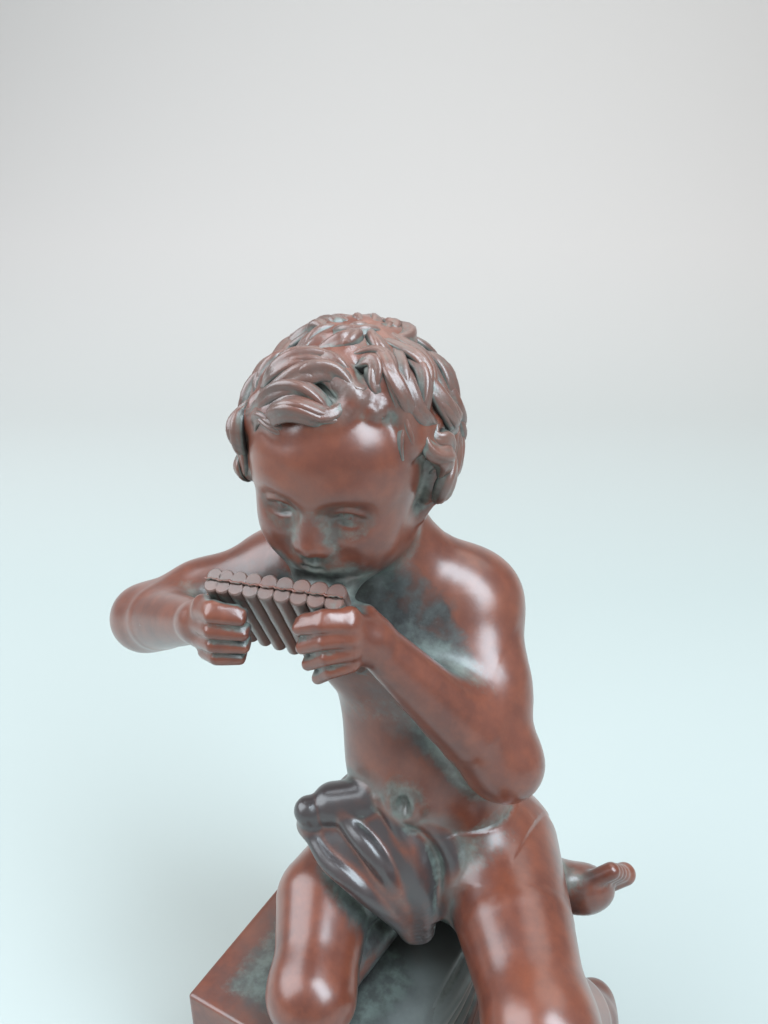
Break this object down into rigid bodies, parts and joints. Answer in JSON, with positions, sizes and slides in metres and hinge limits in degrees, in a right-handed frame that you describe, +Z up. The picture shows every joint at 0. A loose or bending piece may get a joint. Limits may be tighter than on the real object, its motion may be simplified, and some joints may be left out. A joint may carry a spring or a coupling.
{
  "type": "faun statue",
  "caption": "Small cast statue of a seated child faun playing panpipes, one leg folded on a squared block, the other foot on a low base.",
  "frame": {"origin": "centre of the base's flat underside", "axes": "+Z is up, and the block's front face looks along -Y"},
  "size_m": [0.164, 0.11, 0.2604],
  "materials": {
    "cast_resin": "polished red-brown cast resin with a pale green wash in its hollows"
  },
  "bodies": {
    "root": {"faun_statue": "cast_resin"}
  },
  "joints": []
}
